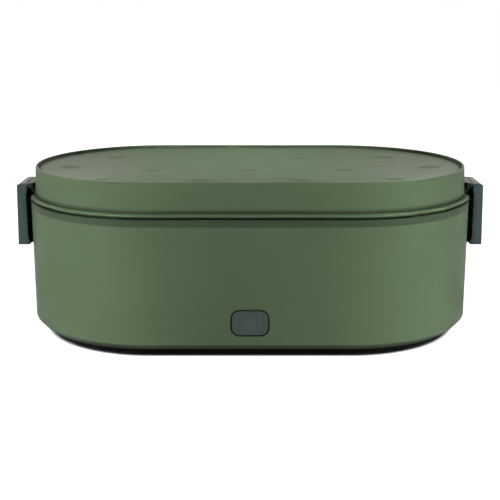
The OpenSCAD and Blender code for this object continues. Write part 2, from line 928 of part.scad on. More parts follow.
module base_cover() {
    color(black)
        difference() {
            union() {
                plate(base_r, foot_stand, foot_stand + base_t);
                around()
                    translate([base_r - base_rim_t, foot_stand])
                        square([base_rim_t, z_seam - foot_stand]);
                around()
                    translate([lip_r - plug_gap - base_rim_t, foot_stand])
                        square([base_rim_t, z_seam + lip_t / 2 - plug_gap - foot_stand]);
                base_screw_places()
                    translate([0, 0, foot_stand])
                        cylinder(h = z_seam - foot_stand, r = base_post_r);
            }
            base_screw_places() {
                translate([0, 0, foot_stand - cut])
                    cylinder(h = cut + head_recess, r = screw_head_r + seat_gap);
                translate([0, 0, foot_stand])
                    cylinder(h = base_h, r = screw_r + plug_gap);
            }
            for (sx = [-1, 1], sy = [-1, 1])
                foot_place(sx, sy)
                    translate([0, 0, foot_stand - cut])
                        cylinder(h = cut + foot_recess, d = foot_d);
            for (side = [-1, 1], i = [0 : vent_slots - 1])
                translate([side * (vent_from + i * vent_pitch), 0, foot_stand - cut])
                    linear_extrude(base_t + 2 * cut)
                        rounded_rect(vent_w, vent_len, vent_w / 2 - 0.01);
        }
}

module base_screws() {
    color(steel)
        base_screw_places() {
            translate([0, 0, foot_stand + head_recess - screw_head_h])
                cylinder(h = screw_head_h, r = screw_head_r);
            translate([0, 0, foot_stand + head_recess])
                cylinder(h = z_seam - foot_stand - head_recess + screw_len, r = screw_r - fit);
        }
}

module foot(sx, sy) {
    color("#26282a")
        foot_place(sx, sy)
            cylinder(h = foot_stand + foot_recess, d = foot_d - 2 * fit);
}

module front_left_foot() { foot(-1, -1); }
module front_right_foot() { foot(1, -1); }
module rear_left_foot() { foot(-1, 1); }
module rear_right_foot() { foot(1, 1); }

// Lid: the shell with its flange, rim, dished and dimpled top, and hinge ears

z_dish_edge = z_top - rim_drop;
dish_r = lid_top_r - rim_w - rim_slope;
liner_top = z_lid + liner_rise + liner_t;
lid_cavity_r = lid_low_r - skirt_t;
channel_out_r = lid_cavity_r - plug_gap;
gasket_in_r = channel_out_r - channel_t - 2 * plug_gap - gasket_w;
dish_steps = 8;
// Chamfers along the flange's lower and upper edges, and the run of the slope inside the lid
flange_edge = 0.2;
flange_round = 0.6;
under_slope = 1;

function dish_z(x) = z_dish_edge - dish * (1 - pow(x / dish_r, 2));

module lid_profile() {
    under_r = lid_top_r - lid_wall;
    z_step = liner_top + plug_gap;
    round_r = rim_w / 2;
    polygon(concat(
        [
            [lid_cavity_r, z_lid],
            [flange_r - flange_edge, z_lid],
            [flange_r, z_lid + flange_edge],
            [flange_r, z_lid + flange_t - flange_round],
            [flange_r - flange_round, z_lid + flange_t],
            [lid_low_r, z_lid + flange_t],
            [lid_top_r, z_top - round_r]
        ],
        [for (a = [15 : 15 : 165])
            [lid_top_r - round_r + round_r * cos(a), z_top - round_r + round_r * sin(a)]],
        [[lid_top_r - rim_w, z_top - round_r]],
        [for (i = [dish_steps : -1 : 0])
            [dish_r * i / dish_steps, dish_z(dish_r * i / dish_steps)]],
        [for (i = [0 : dish_steps])
            [
                (under_r - lid_wall / 2) * i / dish_steps,
                dish_z((under_r - lid_wall / 2) * i / dish_steps) - lid_wall
            ]],
        [
            [under_r - under_slope / 2, z_dish_edge - lid_wall - under_slope],
            [lid_cavity_r - under_slope, z_step],
            [lid_cavity_r, z_step]
        ]
    ));
}

dimple_ball = (pow(dimple_d / 2, 2) + pow(dimple_depth, 2)) / (2 * dimple_depth);

// The dimples' places along each row, from the middle out, as shares of the pitch
dimple_rows = [[0.545, 1.523], [0, 1.077, 2.021], [0.596, 1.606]];

module dimples() {
    for (row = [0 : 2], share = dimple_rows[row], side = [-1, 1]) {
        x = side * share * dimple_pitch_x;
        y = (row - 1) * dimple_pitch_y - dimple_shift;
        r = norm([max(abs(x) - straight, 0), y]);
        if (share > 0 || side > 0)
            translate([x, y, dish_z(r) - dimple_depth + dimple_ball])
                sphere(dimple_ball);
    }
}

// Latch hinge places
pin_x = body_length / 2 - pin_inset;
z_latch_top = z_lid + latch_rise;
z_pin = z_latch_top - knuckle_r;
z_latch_foot = z_latch_top - latch_h;
latch_face_x = body_length / 2 + latch_reach;
latch_foot_x = latch_face_x + latch_lean;
cheek_x = latch_face_x - cheek_depth;
// The ear's outer face, just inside the latch's top plate, and its slope down to the flange
ear_gap = 0.45;
ear_x = cheek_x - ear_gap;
ear_rise = 4;
ear_drop = 0.1;
// How far the ear reaches in from the pin, into the lid wall
ear_root = 4;

// The ear on the lid's end: a block round the pin on a gusset that rises from the flange
module ear() {
    difference() {
        along_y(-ear_w / 2, ear_w / 2)
            polygon([
                [pin_x - ear_root, z_lid],
                [ear_x - ear_rise, z_lid],
                [ear_x, z_lid + ear_rise],
                [ear_x, z_latch_top - ear_drop],
                [pin_x - ear_root, z_latch_top - ear_drop]
            ]);
        bar_y(pin_x, z_pin, -ear_w / 2 - cut, ear_w / 2 + cut, pin_r + fit);
        around()
            translate([0, z_lid - cut])
                square([lid_top_r - lid_wall / 2, lid_h]);
    }
}

// Where the notch's slanted sides meet the lid wall
notch_x = straight + sqrt(pow(lid_low_r, 2) - pow(notch_w / 2, 2));

// The gap in the flange under one latch, which the ear's gusset passes
module flange_notch() {
    translate([0, 0, z_lid - cut])
        linear_extrude(cut + flange_t + seat_gap)
            difference() {
                polygon([
                    [notch_x - flange_w, -notch_w / 2],
                    [notch_x, -notch_w / 2],
                    [straight + flange_r, -notch_w / 2 - 2 * flange_w],
                    [straight + flange_r, notch_w / 2 + 2 * flange_w],
                    [notch_x, notch_w / 2],
                    [notch_x - flange_w, notch_w / 2]
                ]);
                translate([straight, 0])
                    circle(lid_low_r, $fn = 360);
            }
}

module lid_shell() {
    color(lid_green)
        difference() {
            union() {
                difference() {
                    around()
                        lid_profile();
                    flange_notch();
                    mirror([1, 0, 0])
                        flange_notch();
                }
                ear();
                mirror([1, 0, 0])
                    ear();
            }
            dimples();
            post(0, -steam_y, z_lid, z_top, steam_hole_d / 2);
        }
}

// The liner: a panel with a channel for the gasket round its edge
module lid_liner() {
    channel_in_r = gasket_in_r - plug_gap;
    z_panel = z_lid + liner_rise;
    z_wall = z_lid + seat_gap;
    color("#cfd0c8")
        difference() {
            around()
                polygon([
                    [0, z_panel],
                    [channel_in_r - channel_t, z_panel],
                    [channel_in_r - channel_t, z_wall],
                    [channel_in_r, z_wall],
                    [channel_in_r, z_panel + liner_t - channel_t],
                    [channel_out_r - channel_t, z_panel + liner_t - channel_t],
                    [channel_out_r - channel_t, z_wall],
                    [channel_out_r, z_wall],
                    [channel_out_r, liner_top],
                    [0, liner_top]
                ]);
            post(0, -steam_y, z_lid, z_top, valve_stem_r + fit);
        }
}

module lid_gasket() {
    z_foot = z_food_flange + food_pan_t + seat_gap;
    color(white_rubber)
        around()
            translate([gasket_in_r, z_foot])
                square([gasket_w, z_lid + liner_rise + liner_t - channel_t - z_foot]);
}

valve_stem_r = 2;
valve_head_r = 4;
valve_lip_r = 3;
valve_head_h = 1;

// A silicone plug with a steam hole, pushed through the liner
module steam_valve() {
    z_foot = z_lid + liner_rise - valve_head_h;
    color(white_rubber)
        difference() {
            union() {
                post(0, -steam_y, z_foot, z_foot + valve_head_h, valve_head_r);
                post(0, -steam_y, z_foot, liner_top + valve_head_h, valve_stem_r);
                post(0, -steam_y, liner_top, liner_top + valve_head_h, valve_lip_r);
            }
            post(0, -steam_y, z_lid, z_top, steam_hole_d / 2);
        }
}

// Latches: a bulged face with two cheeks and a wedge foot, hung on a pin through the lid's ear

latch_in_y = latch_w / 2 - cheek_t;
latch_ball_r = (pow(latch_w / 2, 2) + pow(latch_bulge, 2)) / (2 * latch_bulge);
toe_tip_x = cheek_x - toe_in;
toe_blunt = 0.5;
// The arms' outer sides come in towards the lid wall, by a share of their length
arm_slope = 0.3;
arm_len = 8;
arm_gap = 0.2;
arm_in_y = ear_w / 2 + arm_gap;
pin_end_y = latch_w / 2 - arm_slope * (cheek_x - pin_x) - seat_gap;
rib_t = 1.2;
// Stock on the side view's face, which the bulge cuts away
face_spare = 0.1;

// The latch's side view: knuckle, top plate, rounded corner, leaning face and wedge foot
module latch_outline() {
    slant = norm([latch_lean, latch_h]);
    corner_x = latch_face_x + face_spare - latch_round * (slant - latch_lean) / latch_h;
    corner_z = z_latch_top - latch_round;
    arm_z = z_latch_top - latch_plate;
    union() {
        translate([pin_x, z_pin])
            circle(knuckle_r);
        translate([corner_x, corner_z])
            circle(latch_round);
        polygon([
            [pin_x, z_latch_top],
            [corner_x, z_latch_top],
            [corner_x + latch_round * latch_h / slant, corner_z + latch_round * latch_lean / slant],
            [latch_foot_x + face_spare, z_latch_foot],
            [toe_tip_x + toe_blunt, z_latch_foot],
            [toe_tip_x, z_latch_foot + toe_blunt],
            [cheek_x, z_latch_foot + toe_h],
            [cheek_x, arm_z - latch_plate / 2],
            [cheek_x - latch_plate / 2, arm_z],
            [pin_x, arm_z]
        ]);
    }
}

// The hollow behind the face, between the cheeks
module latch_hollow() {
    in_x = latch_face_x - latch_t;
    z_in = z_latch_top - latch_plate;
    along_y(-latch_in_y, latch_in_y)
        polygon([
            [pin_x + knuckle_r + seat_gap, z_latch_foot + latch_t],
            [in_x + latch_lean, z_latch_foot + latch_t],
            [in_x, z_in],
            [pin_x + knuckle_r + seat_gap, z_in]
        ]);
}

// What is cut from one side of the arms in plan
module arm_side() {
    translate([cheek_x, latch_w / 2, z_pin - 2 * knuckle_r])
        linear_extrude(3 * knuckle_r + cut)
            polygon([
                [-arm_len, -arm_len * arm_slope],
                [arm_len, arm_len * arm_slope],
                [-arm_len, arm_len]
            ]);
}

module latch_body() {
    difference() {
        intersection() {
            along_y(-latch_w / 2, latch_w / 2)
                latch_outline();
            translate([latch_face_x, 0, z_latch_top])
                rotate([0, -atan(latch_lean / latch_h), 0])
                    translate([-latch_ball_r, 0, -latch_h - 2 * cut])
                        cylinder(h = latch_h + 4 * cut, r = latch_ball_r, $fn = 720);
        }
        latch_hollow();
        along_y(-arm_in_y, arm_in_y)
            translate([pin_x - 2 * knuckle_r, z_pin - 2 * knuckle_r])
                square([cheek_x - pin_x + 2 * knuckle_r, 3 * knuckle_r + cut]);
        arm_side();
        mirror([0, 1, 0])
            arm_side();
        bar_y(pin_x, z_pin, -latch_w, latch_w, pin_r);
    }
    for (i = [1, 2])
        translate([
            cheek_x + rib_t, -latch_in_y - cheek_t / 4, z_latch_foot + i * latch_h / 3 - rib_t / 2
        ])
            cube([cheek_depth - latch_t / 2 - rib_t, 2 * latch_in_y + cheek_t / 2, rib_t]);
}

module latch_pin_body() {
    bar_y(pin_x, z_pin, -pin_end_y, pin_end_y, pin_r);
}

module right_latch() {
    color(latch_grey)
        latch_body();
}

module right_latch_pin() {
    color(steel)
        latch_pin_body();
}

module left_latch() {
    color(latch_grey)
        mirror([1, 0, 0])
            latch_body();
}

module left_latch_pin() {
    color(steel)
        mirror([1, 0, 0])
            latch_pin_body();
}

// The keeper on the body's end wall: its sloped nose stands over the latch's wedge
module keeper() {
    z_nose = z_latch_foot + toe_h;
    root_x = straight + wall_r(z_nose) - body_wall * 0.75;
    nose_x = cheek_x - seat_gap;
    along_y(-ear_w / 2, ear_w / 2)
        polygon([
            [root_x, z_latch_foot],
            [toe_tip_x - seat_gap, z_latch_foot + toe_blunt],
            [nose_x, z_nose + plug_gap],
            [nose_x, z_nose + keeper_nose],
            [root_x, z_nose + 3 * keeper_nose]
        ]);
}

keeper_nose = 2;

body_shell();
rim_collar();
pan_seal();
heating_pan();
heater_plate();
ptc_heater();
heater_clamp();
clamp_studs();
clamp_nuts();
thermostat();
thermostat_screws();
thermal_fuse();
fuse_clip();
control_board();
board_screws();
tact_switch();
switch_plunger();
button_led();
button_cap();
power_inlet();
inlet_pins();
inlet_screws();
live_lead();
neutral_lead();
fuse_lead();
board_lead();
base_cover();
base_screws();
front_left_foot();
front_right_foot();
rear_left_foot();
rear_right_foot();
food_pan();
lid_shell();
lid_liner();
lid_gasket();
steam_valve();
left_latch();
left_latch_pin();
right_latch();
right_latch_pin();
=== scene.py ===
"""Electric lunch box: the looks of its pieces, a plain studio and the camera."""

import math

import bmesh
import bpy
from bpy.props import FloatProperty, FloatVectorProperty, IntProperty, PointerProperty
from mathutils import Matrix, Vector


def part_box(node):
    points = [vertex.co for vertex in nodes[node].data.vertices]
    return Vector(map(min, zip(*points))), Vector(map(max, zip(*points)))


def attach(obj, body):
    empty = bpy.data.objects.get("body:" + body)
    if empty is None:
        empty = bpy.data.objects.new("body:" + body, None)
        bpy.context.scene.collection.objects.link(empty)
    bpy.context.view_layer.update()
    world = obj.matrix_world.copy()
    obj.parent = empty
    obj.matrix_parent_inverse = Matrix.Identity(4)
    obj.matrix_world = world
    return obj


bl_info = {
    "name": "Electric Lunch Box",
    "version": (1, 0, 0),
    "blender": (4, 5, 0),
    "location": "View3D > Sidebar > Lunch Box",
    "description": "Finishes and small details for the electric lunch box",
    "category": "Object",
}

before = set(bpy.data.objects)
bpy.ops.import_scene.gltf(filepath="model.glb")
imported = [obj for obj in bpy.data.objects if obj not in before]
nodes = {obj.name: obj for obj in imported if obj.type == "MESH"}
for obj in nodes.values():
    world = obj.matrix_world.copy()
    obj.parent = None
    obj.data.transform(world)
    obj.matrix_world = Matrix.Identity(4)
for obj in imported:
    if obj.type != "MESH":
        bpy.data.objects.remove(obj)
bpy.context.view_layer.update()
MM = 0.001

# Colours of the outside

BODY_GREEN = (0.0900, 0.1320, 0.0735)
LID_GREEN = (0.0900, 0.1320, 0.0735)
COLLAR_GREEN = (0.048, 0.075, 0.045)
LATCH_GREY = (0.084, 0.124, 0.114)
BUTTON_GREY = (0.060, 0.081, 0.0735)
# The power symbol's line: its paleness is a painted highlight for the lit edges of its engraving
SYMBOL_HIGHLIGHT = (0.105, 0.128, 0.114)
BASE_BLACK = (0.006, 0.0065, 0.006)
FOOT_BLACK = (0.02, 0.02, 0.022)
INLET_BLACK = (0.012, 0.012, 0.012)

# Colours of the inside

LINER_WHITE = (0.6, 0.61, 0.56)
SILICONE_WHITE = (0.65, 0.65, 0.6)
THERMOSTAT_BLACK = (0.015, 0.013, 0.012)
FUSE_SLEEVE = (0.6, 0.55, 0.45)
SWITCH_BLACK = (0.012, 0.012, 0.013)
PLUNGER_RED = (0.45, 0.03, 0.02)
LEAD_BROWN = (0.22, 0.05, 0.02)
LEAD_BLUE = (0.03, 0.07, 0.2)
RELAY_BLUE = (0.02, 0.05, 0.16)
CHIP_BLACK = (0.01, 0.01, 0.011)
RESISTOR_BLACK = (0.02, 0.02, 0.022)
LAMP_RESIN = (0.78, 0.84, 0.78), (0.9, 0.93, 0.88)
BOARD_MASK = (0.012, 0.085, 0.035), (0.018, 0.13, 0.055)

# Metals

STEEL = (0.56, 0.57, 0.58)
SPRING_STEEL = (0.5, 0.5, 0.5)
ZINC = (0.5, 0.5, 0.51)
# The screws' cross recesses: painted shade for their hollows
RECESS_SHADE_STEEL = (0.06, 0.06, 0.06)
ALUMINIUM = (0.62, 0.63, 0.64)
CAPACITOR_CAN = (0.6, 0.6, 0.62)
TIN = (0.6, 0.6, 0.6)
BRASS = (0.72, 0.56, 0.27)

# Colours of the studio, and how bright glossy faces see its white surround

WHITE = (1.0, 1.0, 1.0)
WARM_WHITE = (1.0, 0.95, 0.84)
FLOOR_TINTS = (0.30, 0.30, 0.30), (0.33, 0.33, 0.33)
# Colour of the floor's painted contact shadow around the box's foot
FLOOR_CONTACT_SHADOW = (0.02, 0.02, 0.02)
MIRRORED_SURROUND = 0.8

# Texture scales of the plastics, in steps per metre, and the depth of a metal's brushing

CLOUDS = 22
SPECKS = 900
GLOSS_PATCHES = 60
BRUSH_DEPTH = 0.008 * MM

# The slope inside the lid's rim: the middle of a half-round end, the slope's radii and heights,
# and how far along the lid its shade starts and is full

END_MIDDLE = 50.8 * MM
SLOPE_INNER, SLOPE_OUTER = 62.0 * MM, 63.3 * MM
SLOPE_FOOT, SLOPE_TOP = 87.5 * MM, 89.25 * MM
SHADE_FROM, SHADE_TO = 60 * MM, 100 * MM

# Thin inlays: how far they stand proud of a face, and how deep they reach into it

PROUD = 0.02 * MM
INLAY = 0.1 * MM

# The symbol: half the ring's opening at its foot in degrees, and the bar's heights from its top
# to its foot, as shares of the ring's radius

SYMBOL_GAP = 38.0
SYMBOL_BAR = (-0.15, -0.6, -1.2)

# Board parts, in mm from the middle of the board's lower edge: boxes by x, z, width, height and
# depth, the others by x and z

RELAY_PLACE, RELAY_HEIGHT, RELAY_DEPTH = (-4, 2), 6.5, 2.8
CHIP = (5, 2.5, 4.2, 5, 1.4)
RESISTORS = tuple((9.4, row, 2.2, 1.2, 0.6) for row in (2.4, 4.4, 6.4))
CAPACITOR_PLACE, CAPACITOR_LENGTH = (13, 4), 3
SOLDER_POINTS = tuple((x, 16.5) for x in (-9.5, -6.5, -3.5, -0.5, 3.5, 6.5, 10.0))
SOLDER_RADIUS, SOLDER_LENGTH = 0.6, 0.5

# Studio, in metres: the floor, the middle of the box that most lamps aim at, and the top lamp

FLOOR_RADIUS = 4.0
# How far the floor's painted contact shadow reaches from the box
CONTACT_SHADOW_REACH = 2.5 * MM
BOX_MIDDLE = (0, 0, 0.04)
TOP_LAMP = (0, 0.1, 1.1)
TOP_LAMP_SIZE = (1.0, 0.8)

# The lamps of one side: name, place, aim, size, spread in degrees, whether glossy faces show it

SIDE_LAMPS = (
    ("side", (1.0, 0.1, 0.3), BOX_MIDDLE, (0.5, 0.8), 180, False),
    ("corner", (0.64, -0.73, 0.5), BOX_MIDDLE, (0.3, 0.4), 180, False),
    ("end", (0.645, -0.556, 0.42), (0.088, -0.056, 0.05), (0.05, 0.4), 9, False),
    ("back", (0.46, 0.9, 0.5), BOX_MIDDLE, (0.65, 0.9), 180, True),
    ("rear", (0.5, 0.85, 0.045), BOX_MIDDLE, (0.4, 0.07), 180, False),
)

# Camera: place, tilt in degrees, lens and sensor width in mm, nearest and farthest view in metres

CAMERA_PLACE = (0.0, -0.52099, 0.17277)
CAMERA_TILT = 75.66
CAMERA_LENS, CAMERA_SENSOR = 69.35, 36.0
CAMERA_NEAR, CAMERA_FAR = 0.01, 20.0


# Node building


class Tree:
    """Short calls for a material's or the world's node tree."""

    def __init__(self, owner):
        owner.use_nodes = True
        self.tree = owner.node_tree
        self.tree.nodes.clear()

    def node(self, kind, sockets=None, **settings):
        made = self.tree.nodes.new(kind)
        for key, value in settings.items():
            setattr(made, key, value)
        for key, value in (sockets or {}).items():
            self.put(made.inputs[key], value)
        return made

    def put(self, socket, value):
        if isinstance(value, bpy.types.NodeSocket):
            self.tree.links.new(value, socket)
        elif isinstance(value, (tuple, list)) and socket.type == "RGBA" and len(value) == 3:
            socket.default_value = (*value, 1.0)
        else:
            socket.default_value = value

    def math(self, operation, a, b=0.0):
        made = self.node("ShaderNodeMath", operation=operation)
        self.put(made.inputs[0], a)
        self.put(made.inputs[1], b)
        return made.outputs[0]

    def place(self):
        return self.node("ShaderNodeTexCoord").outputs["Object"]

    def split(self, vector):
        return self.node("ShaderNodeSeparateXYZ", {"Vector": vector}).outputs

    def stretch(self, vector, scale):
        return self.node("ShaderNodeMapping", {"Vector": vector, "Scale": scale}).outputs[0]

    def noise(self, vector, per_metre, detail=3.0, rough=0.5):
        return self.node(
            "ShaderNodeTexNoise",
            {"Vector": vector, "Scale": per_metre, "Detail": detail, "Roughness": rough},
        ).outputs["Fac"]

    def between(self, value, low, high, from_low=0.3, from_high=0.7):
        return self.node(
            "ShaderNodeMapRange",
            {
                "Value": value, "From Min": from_low, "From Max": from_high,
                "To Min": low, "To Max": high,
            },
        ).outputs[0]

    def mix(self, factor, a, b):
        made = self.node("ShaderNodeMix", data_type="RGBA")
        self.put(made.inputs["Factor"], factor)
        self.put(made.inputs[6], a)
        self.put(made.inputs[7], b)
        return made.outputs[2]

    def bump(self, height, distance, normal=None):
        made = self.node(
            "ShaderNodeBump", {"Height": height, "Distance": distance, "Strength": 1.0}
        )
        if normal is not None:
            self.put(made.inputs["Normal"], normal)
        return made.outputs[0]

    def open_air(self, distance, power):
        """1 on open faces, less in corners and gaps narrower than the distance: the mask of
        painted shade.
        """
        seen = self.node("ShaderNodeAmbientOcclusion", {"Distance": distance}, samples=8)
        return self.math("POWER", seen.outputs["AO"], power)

    def satin(self, sockets, level, cover=None):
        """Plastic whose gloss fades where it is seen edge-on, and fades as painted shade where
        the cover mask is low.
        """
        facing = self.node("ShaderNodeLayerWeight", {"Blend": 0.5}).outputs["Facing"]
        fade = self.math("SUBTRACT", 1.0, self.math("POWER", facing, 3.0))
        if cover is not None:
            fade = self.math("MULTIPLY", fade, cover)
        made = self.node("ShaderNodeBsdfPrincipled", sockets)
        gloss = made.inputs["Specular IOR Level"]
        gloss.default_value = level
        self.put(gloss, self.math("MULTIPLY", fade, level))
        return made.outputs[0]

    def edge(self, radius):
        return self.node("ShaderNodeBevel", {"Radius": radius}, samples=4).outputs[0]

    def surface(self, shader):
        out = self.node("ShaderNodeOutputMaterial")
        self.tree.links.new(shader, out.inputs["Surface"])

    def principled(self, sockets):
        return self.node("ShaderNodeBsdfPrincipled", sockets).outputs[0]


def shade(colour, factor):
    """A colour made darker or lighter by a factor."""
    return tuple(min(1.0, c * factor) for c in colour)


def moulded(
    name, colour, roughness=0.4, spread=0.05, vary=0.05, grain=0.012 * MM, grain_scale=1800,
    edge=0.3 * MM, specular=0.5, crease_shade_reach=0.0, shadow=None,
):
    """Moulded plastic: faint cloudiness, a fine grain, softened edges, painted shade in creases
    and an optional painted shadow.
    """
    material = bpy.data.materials.new(name)
    t = Tree(material)
    place = t.place()
    cloud = t.noise(place, CLOUDS, 4.0)
    speck = t.noise(place, SPECKS, 2.0)
    base = t.mix(t.between(cloud, 0.0, 1.0), shade(colour, 1 - vary), shade(colour, 1 + vary))
    base = t.mix(t.between(speck, 0.0, 0.25), base, shade(colour, 1 - 2 * vary))
    # Painted shade: in corners and gaps narrower than the reach the colour darkens towards a
    # tenth, and the gloss fades with it.
    open_air = t.open_air(crease_shade_reach, 2.5) if crease_shade_reach else None
    if crease_shade_reach:
        base = t.mix(open_air, shade(colour, 0.1), base)
    # Painted shadow: where the given mask is full, the colour falls to 8%.
    if shadow:
        base = t.mix(shadow(t, place), base, shade(colour, 0.08))
    rough = t.between(
        t.noise(place, GLOSS_PATCHES, 3.0), roughness - spread, roughness + spread
    )
    fine = t.noise(place, grain_scale, 2.0, 0.6)
    normal = t.bump(fine, grain, t.edge(edge) if edge else None)
    t.surface(t.satin(
        {"Base Color": base, "Roughness": rough, "Normal": normal}, specular, open_air
    ))
    return material


def rim_shadow(t, place):
    """Deep shade on the short slope between the lid's rim and its dished top."""
    at = t.split(place)
    along = t.math("ABSOLUTE", at[0])
    past = t.math("MAXIMUM", t.math("SUBTRACT", along, END_MIDDLE), 0.0)
    squares = t.math("ADD", t.math("MULTIPLY", past, past), t.math("MULTIPLY", at[1], at[1]))
    out = t.math("SQRT", squares)
    ring = t.math(
        "MULTIPLY", t.math("GREATER_THAN", out, SLOPE_INNER),
        t.math("LESS_THAN", out, SLOPE_OUTER),
    )
    level = t.math(
        "MULTIPLY", t.math("GREATER_THAN", at[2], SLOPE_FOOT),
        t.math("LESS_THAN", at[2], SLOPE_TOP),
    )
    towards_ends = t.between(along, 0.3, 0.9, SHADE_FROM, SHADE_TO)
    return t.math("MULTIPLY", t.math("MULTIPLY", ring, level), towards_ends)


def metal(
    name, colour, roughness=0.3, spread=0.06, brush=(1.0, 1.0, 1.0), scale=700,
    edge=0.15 * MM, crease_shade_reach=0.0,
):
    """Bare metal with a fine brushed or rolled texture along one way, and optional painted shade
    in creases.
    """
    material = bpy.data.materials.new(name)
    t = Tree(material)
    along = t.stretch(t.place(), brush)
    lines = t.noise(along, scale, 4.0, 0.65)
    smudge = t.noise(t.place(), 35, 3.0)
    base = t.mix(t.between(lines, 0.0, 1.0), shade(colour, 0.9), shade(colour, 1.06))
    # Painted shade: in corners and gaps narrower than the reach the metal darkens towards 2% of
    # its colour.
    if crease_shade_reach:
        base = t.mix(t.open_air(crease_shade_reach, 2.5), shade(colour, 0.02), base)
    uneven = t.math("ADD", t.math("MULTIPLY", lines, 0.5), t.math("MULTIPLY", smudge, 0.5))
    rough = t.between(uneven, roughness - spread, roughness + spread)
    normal = t.bump(lines, BRUSH_DEPTH, t.edge(edge) if edge else None)
    t.surface(t.principled({
        "Base Color": base, "Metallic": 1.0, "Roughness": rough, "Normal": normal,
    }))
    return material


def rubber(name, colour, roughness=0.7):
    """Silicone or rubber: matt, a little dusty, with a fine orange-peel grain."""
    material = bpy.data.materials.new(name)
    t = Tree(material)
    place = t.place()
    dust = t.noise(place, 160, 4.0, 0.6)
    base = t.mix(t.between(dust, 0.0, 1.0), shade(colour, 0.93), shade(colour, 1.07))
    rough = t.between(dust, roughness - 0.08, roughness + 0.08)
    normal = t.bump(t.noise(place, 1400, 2.0), 0.02 * MM, t.edge(0.3 * MM))
    t.surface(t.principled({
        "Base Color": base, "Roughness": rough, "Normal": normal, "Sheen Weight": 0.15,
        "Sheen Roughness": 0.5,
    }))
    return material


def latch_plastic(name):
    """The latch's satin grey, with painted shade where it closes over the body."""
    material = bpy.data.materials.new(name)
    t = Tree(material)
    place = t.place()
    cloud = t.noise(place, 90, 3.0)
    # Painted shade: in gaps and hollows within 6 mm, inside the latch and over the body, the grey
    # darkens towards 2% and the gloss fades.
    open_air = t.open_air(6 * MM, 3.0)
    outer = t.mix(t.between(cloud, 0.0, 1.0), shade(LATCH_GREY, 0.94), shade(LATCH_GREY, 1.06))
    base = t.mix(open_air, shade(LATCH_GREY, 0.02), outer)
    rough = t.between(t.noise(place, 300, 3.0), 0.38, 0.5)
    normal = t.bump(t.noise(place, 2200, 2.0), 0.01 * MM, t.edge(0.35 * MM))
    t.surface(t.satin(
        {"Base Color": base, "Roughness": rough, "Normal": normal}, 0.16, open_air
    ))
    return material


def light_resin(name):
    """Milky resin of the small lamp behind the button."""
    material = bpy.data.materials.new(name)
    t = Tree(material)
    haze = t.noise(t.place(), 500, 3.0)
    base = t.mix(t.between(haze, 0.0, 1.0), *LAMP_RESIN)
    t.surface(t.principled({
        "Base Color": base, "Roughness": t.between(haze, 0.1, 0.25), "IOR": 1.5,
        "Transmission Weight": 0.3,
    }))
    return material


def board_lacquer(name):
    """Green solder mask over the weave of the board."""
    material = bpy.data.materials.new(name)
    t = Tree(material)
    place = t.place()
    weave = t.node(
        "ShaderNodeTexChecker", {"Vector": place, "Scale": 1400.0}
    ).outputs["Fac"]
    cloud = t.noise(place, 120, 3.0)
    base = t.mix(t.between(cloud, 0.0, 1.0), *BOARD_MASK)
    normal = t.bump(weave, 0.006 * MM, t.edge(0.1 * MM))
    t.surface(t.principled({
        "Base Color": base, "Roughness": t.between(cloud, 0.25, 0.4), "Normal": normal,
        "Coat Weight": 0.3, "Coat Roughness": 0.15,
    }))
    return material


def dress(material, slot, *names):
    """Gives CAD nodes their material; the slot argument is not used."""
    for name in names:
        mesh = nodes[name].data
        mesh.materials.clear()
        mesh.materials.append(material)


def piece(name, mesh, material, body):
    """A new object in place, with its finish, on its body."""
    made = bpy.data.objects.new(name, mesh)
    bpy.context.scene.collection.objects.link(made)
    made.data.materials.append(material)
    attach(made, body)


def islands(name):
    """Low and high corners of every separate solid of a CAD node."""
    made = bmesh.new()
    made.from_mesh(nodes[name].data)
    made.transform(nodes[name].matrix_world)
    left, found = set(made.verts), []
    while left:
        group, edge = set(), [left.pop()]
        while edge:
            vert = edge.pop()
            group.add(vert)
            for link in vert.link_edges:
                other = link.other_vert(vert)
                if other in left:
                    left.remove(other)
                    edge.append(other)
        found.append(tuple(
            Vector([pick(v.co[i] for v in group) for i in range(3)]) for pick in (min, max)
        ))
    made.free()
    return sorted(found, key=lambda box: tuple(round(c, 5) for c in box[0]))


def add_box(made, low, high):
    """A box between two corners."""
    size = [b - a for a, b in zip(low, high)]
    middle = [(a + b) / 2 for a, b in zip(low, high)]
    bmesh.ops.create_cube(
        made, size=1.0, matrix=Matrix.Translation(middle) @ Matrix.Diagonal((*size, 1.0))
    )


def add_rod(made, foot, radius, length, axis, steps):
    """A round rod from a point along an axis."""
    turn = Vector((0, 0, 1)).rotation_difference(Vector(axis)).to_matrix().to_4x4()
    middle = Vector(foot) + Vector(axis) * length / 2
    bmesh.ops.create_cone(
        made, cap_ends=True, segments=steps, radius1=radius, radius2=radius, depth=length,
        matrix=Matrix.Translation(middle) @ turn,
    )


def as_mesh(made, name):
    """The finished mesh of a bmesh, which is freed."""
    mesh = bpy.data.meshes.new(name)
    made.to_mesh(mesh)
    made.free()
    return mesh


def cross_marks(node, axis, outward, long, wide, material, body):
    """The cross recess of every screw of a node, as a dark inlay in its head: painted shade for
    the hollow of the recess.
    """
    made = bmesh.new()
    for low, high in islands(node):
        middle = (low + high) / 2
        face = high[axis] if outward > 0 else low[axis]
        for turned in (0, 1):
            near, far = [0, 0, 0], [0, 0, 0]
            sides = [i for i in range(3) if i != axis]
            for i, half in zip(sides, (long, wide) if turned else (wide, long)):
                near[i], far[i] = middle[i] - half / 2, middle[i] + half / 2
            ends = sorted((face - outward * INLAY, face + outward * PROUD))
            near[axis], far[axis] = ends
            add_box(made, near, far)
    name = node + "_recess"
    piece(name, as_mesh(made, name), material, body)


# Sizes and colours that a user would change


